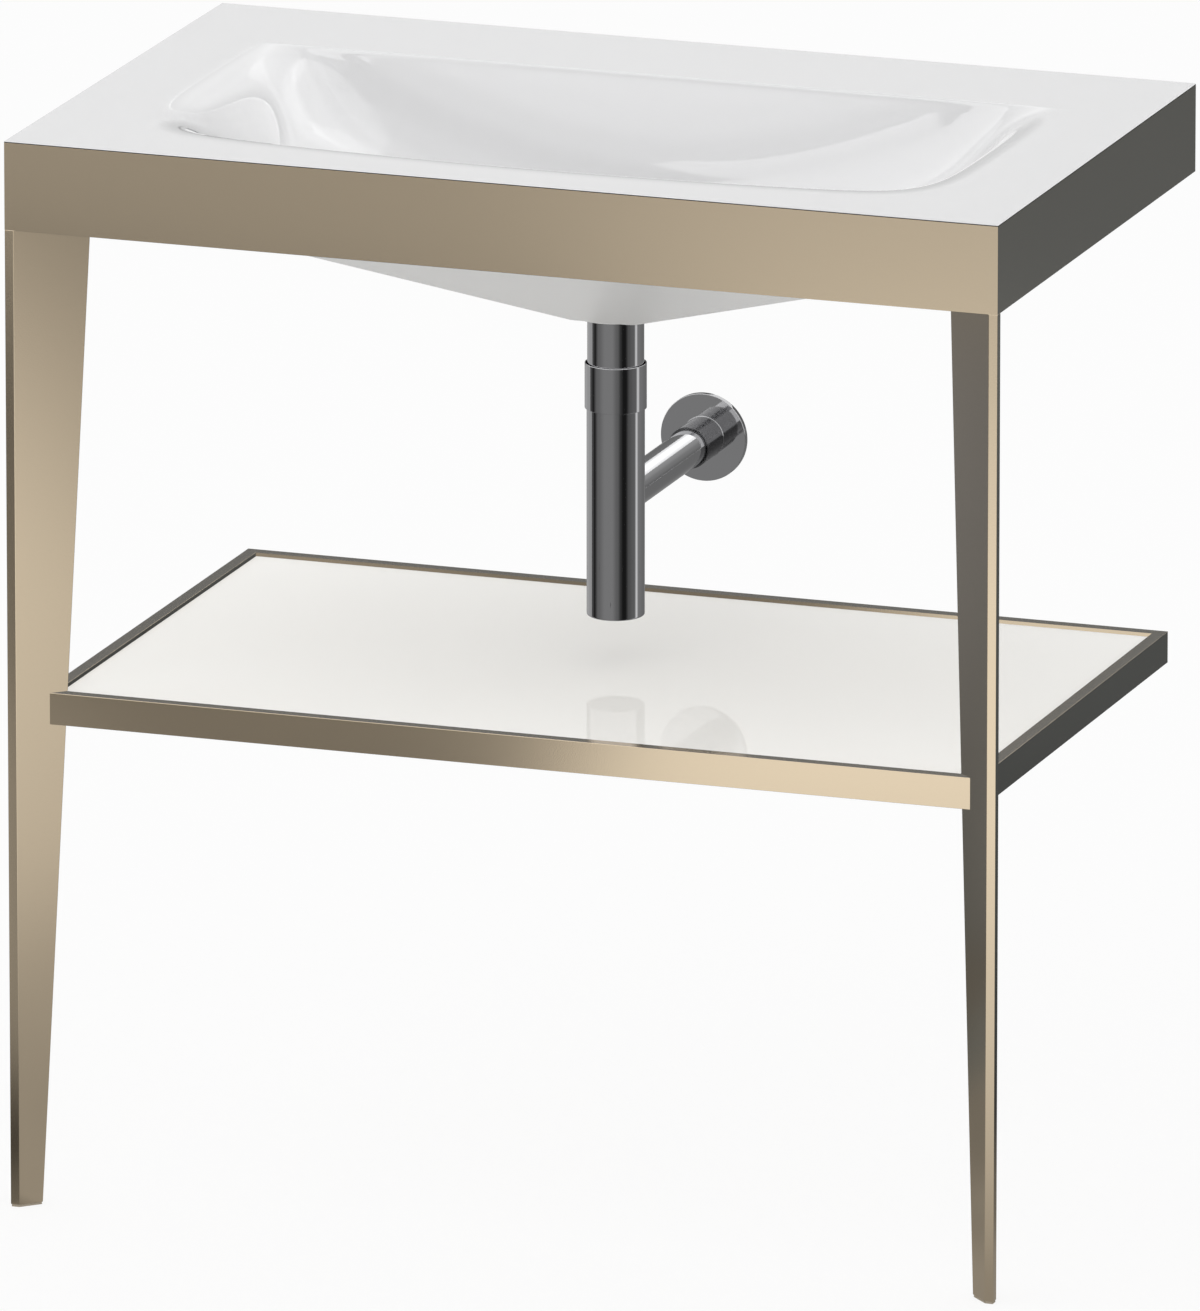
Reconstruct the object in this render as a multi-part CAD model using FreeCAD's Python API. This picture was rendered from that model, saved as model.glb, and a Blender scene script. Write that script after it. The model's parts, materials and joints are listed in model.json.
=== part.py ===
import FreeCAD, Part
import math
import os

# A console washbasin: a ceramic basin top bonded to a metal apron, two tapered plate legs at the
# front corners, a glass shelf in a bar frame and a chrome trap that drains into the wall.
# Millimetres, +Z up, the front faces -Y. The origin lies on the floor under the middle of the part.

# Driving dimensions

# Clearances
SLIP = 0.05                 # radial, where a piece turns or slides on another
ASSEMBLY_GAP = 0.3          # between pieces that don't touch
HOLE_GAP = 0.25             # radial, of a screw or a tail in its passing hole

# Basin top
TOP_WIDTH = 800.0
TOP_DEPTH = 480.0
TOP_HEIGHT = 847.0
DECK_THICKNESS = 20.0
EDGE_LIP = 0.6              # upright edge of the ceramic above its mitre
BOND_DROP = 0.6             # height of the adhesive line that shows at the outside

# Bowl, measured from the deck's edges and its top
BOWL_SIDE_BORDER = 43.0
BOWL_FRONT_BORDER = 24.5
BOWL_BACK_BORDER = 114.0
BOWL_DEPTH = 135.0
KEEL_SLOPE = 0.295          # rise of the bowl's lowest line towards its ends
KEEL_ROUND = 114.0
END_ROLL = 75.0             # how slowly the deck rolls over into the bowl's ends
END_POWER = 4.5             # how firmly it then drops
FRONT_ROLL = 96.0
FRONT_POWER = 4.0
BACK_CURVE = 32.0
CORNER_DRAW = 20.0          # how far the front edge is drawn in at the bowl's ends
CORNER_POWER = 2.0

# Waste
DRAIN_FROM_WALL = 210.0
SEAT_CUT = 1.0              # seat of the waste below the bowl's floor
SEAT_GAP = 1.5
FLANGE_RADIUS = 31.5
FLANGE_HEIGHT = 2.5
WASTE_SEAL = 1.5
TAIL_BORE = 36.0
TAIL_WALL = 2.95
TAIL_BELOW_NUT = 27.0
DRAIN_GAP = 1.55            # between the tail and its hole in the ceramic
NUT_HEIGHT = 7.0
NUT_WALL = 7.0
NUT_SLOT = 5.0
NUT_ROOM = 2.0              # between the nut and its recess
GASKET_HEIGHT = 3.0
RECESS_HEIGHT = 12.0

# Underside of the ceramic, measured from the deck's edges
UNDER_SIDE_BORDER = 42.0
UNDER_FRONT_BORDER = 38.0
SHOULDER = 32.0             # upright part below the deck
FLOOR_THICKNESS = 31.0
UNDER_WALL = 17.0           # ceramic behind the bowl's back edge
UNDER_FLAT_X = 60.0
UNDER_FLAT_Y = 80.0
RIDGE_ROUND = 9.0
BOSS_HEIGHT = 4.0
BOSS_WALL = 5.0             # around the nut's recess
BOSS_FLARE = 35.0           # how much wider the boss is where it meets the shoulder

# Apron and its corners
APRON_HEIGHT = 70.0
APRON_PLATE = 10.0
BLOCK_TO_CERAMIC = 8.0
BLOCK_TO_DECK = 10.0
HEAD_PLATE = 8.0
HEAD_MARGIN = 9.2           # how far the leg's head plate passes the leg's inner edge
CLEAT_LEG = 40.0
CLEAT_PLATE = 4.0
CLEAT_MARGIN = 7.0          # above and below the cleat
WALL_BOLT_SPACING = 280.0
WALL_BOLT_HOLE = 11.0

# Legs
LEG_PLATE = 10.0
LEG_TOP_WIDTH = 70.0        # along the diagonal, from the outer corner
LEG_FOOT_WIDTH = 25.0
GLIDE_HEIGHT = 2.0
GLIDE_INSET = 0.6
GLIDE_SPIGOT = 4.0
GLIDE_SPIGOT_LENGTH = 8.0

# Screws
SCREW = 6.0
SCREW_HEAD_RIM = 2.5
SCREW_HEAD_HEIGHT = 3.0
SCREW_GRIP = 18.0           # length in the leg or the block
LEG_SCREW_INSET = 12.6      # from the leg's inner edge
LEG_SCREW_PITCH = 22.4
HEAD_SCREW_NEAR = 11.0      # from the apron's inner corner, along its two sides
HEAD_SCREW_FAR = 26.0
CLEAT_SCREW = 5.0
CLEAT_SCREW_HEAD_RIM = 2.0
CLEAT_SCREW_HEAD_HEIGHT = 3.0
CLEAT_SCREW_GRIP = 6.0      # length in the panel

# Shelf
SHELF_BELOW_TRAP = 33.0     # top of the frame below the trap's lower end
SHELF_INSET = 20.0          # from the apron's outside
BAR_HEIGHT = 25.0
BAR_PLATE = 10.0
GLASS_THICKNESS = 6.0
GLASS_RECESS = 3.5
GLASS_GAP = 1.0
PAD_HEIGHT = 1.0
PAD_RADIUS = 4.0
TAB_LENGTH = 30.0
TAB_DEPTH = 12.0
TAB_PLATE = 3.0
TAB_SPACING = 250.0
SHELF_SCREW_SPACING = 600.0
SHELF_SCREW_HOLE = 6.6
SHELF_SCREW_RISE = 7.0      # hole centre above the rail's lower edge

# Push-open plug, modelled open
PLUG_TRAVEL = 9.0
PLUG_INSET = 0.5            # from the flange's edge
PLUG_HEIGHT = 5.0
PLUG_EDGE = 2.0
PLUG_SEAL_HEIGHT = 3.0
PLUG_SEAL_WIDTH = 5.0
PLUG_SEAL_LAND = 2.0        # between the tail's bore and the seal
STEM_DIAMETER = 8.0
STEM_BELOW_HUB = 12.0
HUB_WALL = 3.95
HUB_HEIGHT = 22.0
HUB_DROP = 15.0             # below the flange
SPOKE_WIDTH = 4.0
SPOKE_HEIGHT = 8.0

# Trap
SLEEVE_WALL = 1.0
SLEEVE_SHOWN = 35.0         # between the ceramic and the collar
SLEEVE_IN_COLLAR = 10.0
SLEEVE_END_GAP = 4.0
COLLAR_HEIGHT = 36.0
COLLAR_GAP = 1.0            # around the sleeve in the collar's mouth
COLLAR_LIP = 1.0
COLLAR_SKIRT = 1.45
COLLAR_EDGE = 0.8
COLLAR_WEB = 4.0
COLLAR_SEAL = 3.0
TRAP_BELOW_PIPE = 91.0      # from the pipe's axis to the trap's lower end
TRAP_WALL = 1.5
TRAP_BASE = 3.0
TRAP_EDGE = 1.5
DIP_WALL = 1.2
DIP_END_GAP = 18.0          # above the trap's floor
DIP_SEAL_WIDTH = 2.0
DIP_SEAL_HEIGHT = 3.0
DIP_SEAL_DROP = 5.0         # below the dip tube's upper end
DIP_SEAL_RISE = 4.0         # above the tail's lower end

# Pipe to the wall and its rosette
PIPE_BELOW_COLLAR = 74.0    # its axis below the collar's lower end
PIPE_DIAMETER = 30.0
PIPE_WALL = 1.2
PIPE_IN_WALL = 40.0
PIPE_MARK = 1.0             # scribed line at the wall, its width
PIPE_MARK_CUT = 0.2
ROSETTE_DIAMETER = 70.0
ROSETTE_HEIGHT = 5.0
ROSETTE_SKIN = 1.2
ROSETTE_EDGE = 0.8
NECK_SKIN = 0.8             # outside the rubber ring's groove
NECK_LENGTH = 35.0
RING_WIDTH = 3.0
RING_DEPTH = 0.9

# Places that follow from them

HALF = TOP_WIDTH / 2
WALL_Y = (TOP_DEPTH - PIPE_IN_WALL) / 2
FRONT_Y = WALL_Y - TOP_DEPTH
INNER_X = HALF - APRON_PLATE
DECK_LOW = TOP_HEIGHT - DECK_THICKNESS
APRON_BOTTOM = TOP_HEIGHT - APRON_HEIGHT
DRAIN_Y = WALL_Y - DRAIN_FROM_WALL

BOWL_HALF = HALF - BOWL_SIDE_BORDER
BOWL_FRONT = FRONT_Y + BOWL_FRONT_BORDER
BOWL_BACK = WALL_Y - BOWL_BACK_BORDER
UNDER_HALF = HALF - UNDER_SIDE_BORDER
UNDER_FRONT = FRONT_Y + UNDER_FRONT_BORDER
SHOULDER_LOW = DECK_LOW - SHOULDER
UNDER_LOW = TOP_HEIGHT - BOWL_DEPTH - FLOOR_THICKNESS
BOSS_LOW = UNDER_LOW - BOSS_HEIGHT

SEAT_Z = TOP_HEIGHT - BOWL_DEPTH - SEAT_CUT
FLANGE_TOP = SEAT_Z + WASTE_SEAL + FLANGE_HEIGHT
TAIL_RADIUS = TAIL_BORE / 2 + TAIL_WALL
NUT_RADIUS = TAIL_RADIUS + NUT_WALL
RECESS_RADIUS = NUT_RADIUS + NUT_ROOM
NUT_LOW = BOSS_LOW + RECESS_HEIGHT - GASKET_HEIGHT - NUT_HEIGHT
TAIL_LOW = NUT_LOW - TAIL_BELOW_NUT

PLUG_BOTTOM = FLANGE_TOP + ASSEMBLY_GAP + PLUG_SEAL_HEIGHT + PLUG_TRAVEL
PLUG_SEAL_BORE = TAIL_BORE / 2 + PLUG_SEAL_LAND
HUB_TOP = FLANGE_TOP - HUB_DROP
HUB_LOW = HUB_TOP - HUB_HEIGHT

SLEEVE_RADIUS = TAIL_RADIUS + SLIP + SLEEVE_WALL
COLLAR_MOUTH = SLEEVE_RADIUS + COLLAR_GAP
COLLAR_RADIUS = COLLAR_MOUTH + COLLAR_LIP
COLLAR_TOP = BOSS_LOW - SLEEVE_SHOWN
COLLAR_LOW = COLLAR_TOP - COLLAR_HEIGHT
WEB_TOP = COLLAR_TOP - SLEEVE_IN_COLLAR - SLEEVE_END_GAP
WEB_LOW = WEB_TOP - COLLAR_WEB
TRAP_RADIUS = COLLAR_RADIUS - COLLAR_SKIRT - SLIP
TRAP_TOP = WEB_LOW - SLIP - COLLAR_SEAL
PIPE_Z = COLLAR_LOW - PIPE_BELOW_COLLAR
TRAP_LOW = PIPE_Z - TRAP_BELOW_PIPE
DIP_RADIUS = TAIL_BORE / 2 - DIP_SEAL_WIDTH
DIP_TOP = TAIL_LOW + DIP_SEAL_RISE + DIP_SEAL_HEIGHT + DIP_SEAL_DROP
DIP_LOW = TRAP_LOW + TRAP_BASE + DIP_END_GAP

PIPE_RADIUS = PIPE_DIAMETER / 2
PIPE_END = WALL_Y + PIPE_IN_WALL
NECK_BORE = PIPE_RADIUS + SLIP
NECK_Y = WALL_Y - ROSETTE_HEIGHT - NECK_LENGTH
RING_Y = NECK_Y + NECK_LENGTH / 2

LEG_FACET = LEG_PLATE / math.sqrt(2)
CORNER_Y = FRONT_Y + APRON_PLATE
HEAD_TOP = APRON_BOTTOM + HEAD_PLATE
HEAD_LEG = (LEG_TOP_WIDTH + HEAD_MARGIN) * math.sqrt(2) - 2 * APRON_PLATE
BLOCK_LEG = UNDER_SIDE_BORDER + UNDER_FRONT_BORDER - 2 * APRON_PLATE - BLOCK_TO_CERAMIC
BLOCK_TOP = DECK_LOW - BLOCK_TO_DECK
LEG_SCREW_FAR = LEG_TOP_WIDTH - LEG_SCREW_INSET
LEG_SCREW_NEAR = LEG_SCREW_FAR - LEG_SCREW_PITCH

CLEAT_Y = WALL_Y - APRON_PLATE
CLEAT_LOW = APRON_BOTTOM + CLEAT_MARGIN
CLEAT_TOP = DECK_LOW - CLEAT_MARGIN
CLEAT_MIDDLE_Z = (CLEAT_LOW + CLEAT_TOP) / 2
CLEAT_MIDDLE = (CLEAT_LEG + CLEAT_PLATE) / 2

SHELF_TOP = TRAP_LOW - SHELF_BELOW_TRAP
SHELF_LOW = SHELF_TOP - BAR_HEIGHT
SHELF_HALF = HALF - SHELF_INSET
SHELF_INNER = SHELF_HALF - BAR_PLATE
SHELF_FRONT = FRONT_Y + SHELF_INSET
BAR_BACK = SHELF_FRONT + BAR_PLATE
RAIL_FRONT = WALL_Y - BAR_PLATE
GLASS_TOP = SHELF_TOP - GLASS_RECESS
GLASS_LOW = GLASS_TOP - GLASS_THICKNESS
TAB_TOP = GLASS_LOW - PAD_HEIGHT


# Small building helpers

def point(x, y, z):
    return FreeCAD.Vector(x, y, z)


def box(x0, x1, y0, y1, z0, z1):
    return Part.makeBox(x1 - x0, y1 - y0, z1 - z0, point(x0, y0, z0))


def flat_face(corners):
    return Part.Face(Part.makePolygon(corners + corners[:1]))


def prism(outline, z0, z1):
    corners = [point(x, y, z0) for x, y in outline]
    return flat_face(corners).extrude(point(0, 0, z1 - z0))


def rod(radius, z0, z1, x=0.0, y=DRAIN_Y):
    return Part.makeCylinder(radius, z1 - z0, point(x, y, z0))


def ring(radius, bore_radius, z0, z1):
    return rod(radius, z0, z1).cut(rod(bore_radius, z0, z1))


def rod_to_wall(radius, y0, y1, x=0.0, z=PIPE_Z):
    return Part.makeCylinder(radius, y1 - y0, point(x, y0, z), point(0, 1, 0))


def closed_solid(faces):
    shell = Part.makeShell(faces)
    shell.sewShape()
    return Part.Solid(shell)


def frustum(low, z_low, high, z_high):
    # A four-sided tapering block between two rectangles given as x0, x1, y0, y1.
    def corners(rectangle, z):
        x0, x1, y0, y1 = rectangle
        return [point(x0, y0, z), point(x1, y0, z), point(x1, y1, z), point(x0, y1, z)]

    a = corners(low, z_low)
    b = corners(high, z_high)
    loops = [a[::-1], b]
    loops += [[a[i - 1], a[i], b[i], b[i - 1]] for i in range(4)]
    return closed_solid([flat_face(loop) for loop in loops])


def rounded_rim(shape, radius, centre):
    # Rounds the full circle that lies around this centre.
    rims = [e for e in shape.Edges if e.Closed and e.BoundBox.Center.distanceToPoint(centre) < SLIP]
    return shape.makeFillet(radius, rims)


def mirrored(shape):
    return shape.mirror(point(0, 0, 0), point(1, 0, 0))


def with_mirrors(shapes):
    return Part.makeCompound(shapes + [mirrored(shape) for shape in shapes])


def fused(shapes):
    return shapes[0].multiFuse(shapes[1:]).removeSplitter()


def save(name, shape):
    shape.exportStep("parts/%s.step" % name)


def save_pair(name, left_shape):
    save(name + "_left", left_shape)
    save(name + "_right", mirrored(left_shape))


# Ceramic basin

def roll(distance, slowness, power):
    # Rolls smoothly over from the flat deck and steepens with the distance from the edge.
    distance = max(distance, 0.0)
    return distance ** power / (distance ** power + slowness ** power)


def bowl_form(x, y):
    along = abs(x) / BOWL_HALF
    front = BOWL_FRONT + CORNER_DRAW * along ** CORNER_POWER
    back = 1.0 - math.exp(-max(BOWL_BACK - y, 0.0) / BACK_CURVE)
    keel = BOWL_DEPTH - KEEL_SLOPE * (math.hypot(x, KEEL_ROUND) - KEEL_ROUND)
    end = roll(BOWL_HALF - abs(x), END_ROLL, END_POWER)
    return keel * end * roll(y - front, FRONT_ROLL, FRONT_POWER) * back


def bowl_z(x, y):
    return TOP_HEIGHT - bowl_form(x, y) * BOWL_DEPTH / bowl_form(0.0, DRAIN_Y)


def bowl_face():
    # The control points lie closer together towards the bowl's edges.
    columns = 64
    rows = 48
    grid = []
    for i in range(columns + 1):
        x = -BOWL_HALF * math.cos(math.pi * i / columns)
        line = []
        for j in range(rows + 1):
            share = (1.0 - math.cos(math.pi * j / rows)) / 2
            y = BOWL_FRONT + (BOWL_BACK - BOWL_FRONT) * share
            line.append(point(x, y, bowl_z(x, y)))
        grid.append(line)
    degree = 3
    u_counts = [degree + 1] + [1] * (columns - degree) + [degree + 1]
    v_counts = [degree + 1] + [1] * (rows - degree) + [degree + 1]
    u_knots = list(range(len(u_counts)))
    v_knots = list(range(len(v_counts)))
    surface = Part.BSplineSurface()
    surface.buildFromPolesMultsKnots(grid, u_counts, v_counts, u_knots, v_knots,
                                     False, False, degree, degree)
    return surface.toShape()


def deck_mitre(drop):
    # The deck's mitred edge band, full size at the top and one apron plate smaller below.
    top = TOP_HEIGHT - EDGE_LIP - drop
    full = (-HALF, HALF, FRONT_Y, WALL_Y)
    inner = (-INNER_X, INNER_X, CORNER_Y, WALL_Y)
    return frustum(inner, top - APRON_PLATE, full, top)


def underside():
    # An upside-down blunt pyramid with rounded ridges, and a boss around the drain.
    x0, x1, y0, y1 = -UNDER_HALF, UNDER_HALF, UNDER_FRONT, BOWL_BACK + UNDER_WALL
    flat_x = UNDER_FLAT_X / 2
    flat_y = UNDER_FLAT_Y / 2
    flat = (-flat_x, flat_x, DRAIN_Y - flat_y, DRAIN_Y + flat_y)
    taper = frustum(flat, UNDER_LOW, (x0, x1, y0, y1), SHOULDER_LOW)
    ridges = [e for e in taper.Edges if abs(e.Vertexes[0].Z - e.Vertexes[1].Z) > RIDGE_ROUND]
    taper = taper.makeFillet(RIDGE_ROUND, ridges)
    upper = box(x0, x1, y0, y1, SHOULDER_LOW, DECK_LOW)
    boss_radius = RECESS_RADIUS + BOSS_WALL
    boss = Part.makeCone(boss_radius, boss_radius + BOSS_FLARE, SHOULDER_LOW - BOSS_LOW,
                         point(0, DRAIN_Y, BOSS_LOW))
    return [taper, upper, boss.common(box(x0, x1, y0, y1, BOSS_LOW, SHOULDER_LOW))]


def basin():
    lip = box(-HALF, HALF, FRONT_Y, WALL_Y, TOP_HEIGHT - EDGE_LIP, TOP_HEIGHT)
    inset = APRON_PLATE + ASSEMBLY_GAP
    slab = box(inset - HALF, HALF - inset, FRONT_Y + inset, WALL_Y, DECK_LOW, TOP_HEIGHT - EDGE_LIP)
    block = fused([lip, deck_mitre(0.0), slab] + underside())
    rest = []
    for face in block.Faces:
        if face.BoundBox.ZMin > TOP_HEIGHT - EDGE_LIP / 2:
            deck_edge = face.OuterWire
        else:
            rest.append(face)
    bowl = bowl_face()
    deck = Part.makeFace([deck_edge, bowl.OuterWire], "Part::FaceMakerBullseye")
    solid = closed_solid(rest + [bowl] + deck.Faces)
    solid = solid.cut(rod(TAIL_RADIUS + DRAIN_GAP, BOSS_LOW, TOP_HEIGHT))
    solid = solid.cut(rod(FLANGE_RADIUS + SEAT_GAP, SEAT_Z, TOP_HEIGHT))
    return solid.cut(rod(RECESS_RADIUS, BOSS_LOW, BOSS_LOW + RECESS_HEIGHT))


def bond_bead():
    lip = box(-HALF, HALF, FRONT_Y, WALL_Y, TOP_HEIGHT - EDGE_LIP - BOND_DROP, TOP_HEIGHT - EDGE_LIP)
    inner = box(-INNER_X, INNER_X, CORNER_Y, WALL_Y, APRON_BOTTOM, TOP_HEIGHT)
    return fused([deck_mitre(BOND_DROP), lip]).cut(deck_mitre(0.0)).cut(inner)


# Apron

def apron_panel(outline):
    top = TOP_HEIGHT - EDGE_LIP - BOND_DROP
    return prism(outline, APRON_BOTTOM, top).cut(deck_mitre(BOND_DROP))


def apron_front():
    return apron_panel([(-HALF, FRONT_Y), (HALF, FRONT_Y), (INNER_X, CORNER_Y), (-INNER_X, CORNER_Y)])


def apron_left():
    outline = [(-HALF, FRONT_Y), (-INNER_X, CORNER_Y), (-INNER_X, WALL_Y), (-HALF, WALL_Y)]
    return apron_panel(outline).cut(cleat_side_screw())


def apron_back_rail():
    rail = box(-INNER_X, INNER_X, CLEAT_Y, WALL_Y, APRON_BOTTOM, DECK_LOW)
    for x in (-WALL_BOLT_SPACING / 2, WALL_BOLT_SPACING / 2):
        rail = rail.cut(rod_to_wall(WALL_BOLT_HOLE / 2, CLEAT_Y, WALL_Y, x, CLEAT_MIDDLE_Z))
    return rail.cut(cleat_rail_screw()).cut(mirrored(cleat_rail_screw()))


# Cleats in the two back corners, each with one screw into the side panel and one into the back rail

def cleat_screw(gap):
    # Lies along Z with its head below the origin. A gap gives the passing hole instead.
    shank = Part.makeCylinder(CLEAT_SCREW / 2 + gap, CLEAT_PLATE + CLEAT_SCREW_GRIP)
    head = Part.makeCylinder(CLEAT_SCREW / 2 + CLEAT_SCREW_HEAD_RIM, CLEAT_SCREW_HEAD_HEIGHT,
                             point(0, 0, -CLEAT_SCREW_HEAD_HEIGHT))
    return shank if gap else fused([shank, head])


def cleat_side_screw(gap=0.0):
    screw = cleat_screw(gap)
    screw.rotate(point(0, 0, 0), point(0, 1, 0), -90)
    screw.translate(point(CLEAT_PLATE - INNER_X, CLEAT_Y - CLEAT_MIDDLE, CLEAT_MIDDLE_Z))
    return screw


def cleat_rail_screw(gap=0.0):
    screw = cleat_screw(gap)
    screw.rotate(point(0, 0, 0), point(1, 0, 0), -90)
    screw.translate(point(CLEAT_MIDDLE - INNER_X, CLEAT_Y - CLEAT_PLATE, CLEAT_MIDDLE_Z))
    return screw


def back_cleat():
    along_rail = box(-INNER_X, CLEAT_LEG - INNER_X, CLEAT_Y - CLEAT_PLATE, CLEAT_Y, CLEAT_LOW, CLEAT_TOP)
    along_side = box(-INNER_X, CLEAT_PLATE - INNER_X, CLEAT_Y - CLEAT_LEG, CLEAT_Y, CLEAT_LOW, CLEAT_TOP)
    cleat = fused([along_rail, along_side])
    return cleat.cut(cleat_side_screw(HOLE_GAP)).cut(cleat_rail_screw(HOLE_GAP))


def cleat_screws():
    return with_mirrors([cleat_side_screw(), cleat_rail_screw()])


# Legs and the hardware that holds them in the front corners

def on_diagonal(reach, z):
    return point(reach / math.sqrt(2) - HALF, reach / math.sqrt(2) + FRONT_Y, z)


def diagonal_plate(profile, thickness, inset):
    # A plate in the left corner's diagonal plane, drawn as reach from the corner and height,
    # and trimmed to the two outer faces of the corner.
    half = point(1, -1, 0).normalize() * (thickness / 2)
    corners = [on_diagonal(reach, z) - half for reach, z in profile]
    plate = flat_face(corners).extrude(half * 2)
    quarter = box(inset - HALF, 0, FRONT_Y + inset, WALL_Y, 0, TOP_HEIGHT)
    return plate.common(quarter).removeSplitter()


def countersunk_screw(base, direction):
    length = HEAD_PLATE + SCREW_GRIP
    head = Part.makeCone(SCREW / 2 + SCREW_HEAD_RIM, SCREW / 2, SCREW_HEAD_HEIGHT, base, direction)
    shank = Part.makeCylinder(SCREW / 2, length, base, direction)
    return fused([shank, head])


def leg_screw_pair():
    down = point(0, 0, -1)
    bases = [on_diagonal(reach, HEAD_TOP) for reach in (LEG_SCREW_NEAR, LEG_SCREW_FAR)]
    return [countersunk_screw(base, down) for base in bases]


def head_screw_pair():
    up = point(0, 0, 1)
    first = point(HEAD_SCREW_NEAR - INNER_X, CORNER_Y + HEAD_SCREW_FAR, APRON_BOTTOM)
    second = point(HEAD_SCREW_FAR - INNER_X, CORNER_Y + HEAD_SCREW_NEAR, APRON_BOTTOM)
    return [countersunk_screw(first, up), countersunk_screw(second, up)]


def leg_screws():
    return with_mirrors(leg_screw_pair())


def head_screws():
    return with_mirrors(head_screw_pair())


def glide_spigot(z0):
    centre = on_diagonal(LEG_FOOT_WIDTH / 2, 0)
    return rod(GLIDE_SPIGOT / 2, z0, GLIDE_HEIGHT + GLIDE_SPIGOT_LENGTH, centre.x, centre.y)


def leg():
    profile = [(0, GLIDE_HEIGHT), (LEG_FOOT_WIDTH, GLIDE_HEIGHT),
               (LEG_TOP_WIDTH, APRON_BOTTOM), (0, APRON_BOTTOM)]
    plate = diagonal_plate(profile, LEG_PLATE, 0.0).cut(glide_spigot(GLIDE_HEIGHT))
    for screw in leg_screw_pair():
        plate = plate.cut(screw)
    return plate


def foot_glide():
    reach = LEG_FOOT_WIDTH - GLIDE_INSET
    profile = [(0, 0), (reach, 0), (reach, GLIDE_HEIGHT), (0, GLIDE_HEIGHT)]
    return fused([diagonal_plate(profile, LEG_PLATE - 2 * GLIDE_INSET, GLIDE_INSET), glide_spigot(0)])


def corner_triangle(side, z0, z1):
    corner = [(-INNER_X, CORNER_Y), (side - INNER_X, CORNER_Y), (-INNER_X, CORNER_Y + side)]
    return prism(corner, z0, z1)


def leg_head():
    plate = corner_triangle(HEAD_LEG, APRON_BOTTOM, HEAD_TOP)
    for screw in leg_screw_pair() + head_screw_pair():
        plate = plate.cut(screw)
    return plate


def corner_block():
    block = corner_triangle(BLOCK_LEG, HEAD_TOP, BLOCK_TOP)
    for screw in head_screw_pair():
        block = block.cut(screw)
    return block


# Shelf

def leg_face_x(y):
    # Where the left leg's inward face is met by a bar at this depth.
    return y - FRONT_Y + LEG_FACET - HALF


def leg_face_y(x):
    return x + HALF + LEG_FACET + FRONT_Y


def shelf_front_rail():
    front_end = leg_face_x(SHELF_FRONT)
    back_end = leg_face_x(BAR_BACK)
    outline = [(front_end, SHELF_FRONT), (-front_end, SHELF_FRONT),
               (-back_end, BAR_BACK), (back_end, BAR_BACK)]
    return prism(outline, SHELF_LOW, SHELF_TOP)


def shelf_rail():
    outline = [(-SHELF_HALF, leg_face_y(-SHELF_HALF)), (-SHELF_INNER, leg_face_y(-SHELF_INNER)),
               (-SHELF_INNER, RAIL_FRONT), (-SHELF_HALF, WALL_Y)]
    return prism(outline, SHELF_LOW, SHELF_TOP)


def shelf_back_rail():
    outline = [(-SHELF_HALF, WALL_Y), (-SHELF_INNER, RAIL_FRONT),
               (SHELF_INNER, RAIL_FRONT), (SHELF_HALF, WALL_Y)]
    rail = prism(outline, SHELF_LOW, SHELF_TOP)
    hole_z = SHELF_LOW + SHELF_SCREW_RISE
    for x in (-SHELF_SCREW_SPACING / 2, SHELF_SCREW_SPACING / 2):
        rail = rail.cut(rod_to_wall(SHELF_SCREW_HOLE / 2, RAIL_FRONT, WALL_Y, x, hole_z))
    return rail


def shelf_glass():
    # The two front corners are cut off square to the legs.
    side = SHELF_INNER - GLASS_GAP
    front = BAR_BACK + GLASS_GAP
    back = RAIL_FRONT - GLASS_GAP
    rise = (SHELF_TOP - GLIDE_HEIGHT) / (APRON_BOTTOM - GLIDE_HEIGHT)
    leg_reach = LEG_FOOT_WIDTH + (LEG_TOP_WIDTH - LEG_FOOT_WIDTH) * rise
    corner = (leg_reach + GLASS_GAP) * math.sqrt(2)
    front_x = HALF - corner + front - FRONT_Y
    side_y = FRONT_Y + corner - HALF + side
    right = [(front_x, front), (side, side_y), (side, back)]
    left = [(-x, y) for x, y in right[::-1]]
    return prism(right + left, GLASS_LOW, GLASS_TOP)


def tab_places():
    # Middle of each tab's seam with its rail, and the way it points into the frame.
    middle = (BAR_BACK + RAIL_FRONT) / 2
    places = [(x, BAR_BACK, 0, 1) for x in (-TAB_SPACING, 0, TAB_SPACING)]
    places += [(x, RAIL_FRONT, 0, -1) for x in (-TAB_SPACING, 0, TAB_SPACING)]
    return places + [(-SHELF_INNER, middle, 1, 0), (SHELF_INNER, middle, -1, 0)]


def glass_tabs():
    tabs = []
    for x, y, in_x, in_y in tab_places():
        half_x = (TAB_DEPTH * abs(in_x) + TAB_LENGTH * abs(in_y)) / 2
        half_y = (TAB_DEPTH * abs(in_y) + TAB_LENGTH * abs(in_x)) / 2
        x += in_x * TAB_DEPTH / 2
        y += in_y * TAB_DEPTH / 2
        tabs.append(box(x - half_x, x + half_x, y - half_y, y + half_y, TAB_TOP - TAB_PLATE, TAB_TOP))
    return Part.makeCompound(tabs)


def glass_pads():
    reach = TAB_DEPTH - PAD_RADIUS - GLASS_GAP
    pads = []
    for x, y, in_x, in_y in tab_places():
        pads.append(rod(PAD_RADIUS, TAB_TOP, GLASS_LOW, x + in_x * reach, y + in_y * reach))
    return Part.makeCompound(pads)


# Waste in the bowl

def waste_body():
    flange = rod(FLANGE_RADIUS, FLANGE_TOP - FLANGE_HEIGHT, FLANGE_TOP)
    tail = rod(TAIL_RADIUS, TAIL_LOW, FLANGE_TOP)
    return fused([flange, tail]).cut(rod(TAIL_BORE / 2, TAIL_LOW, FLANGE_TOP))


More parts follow.
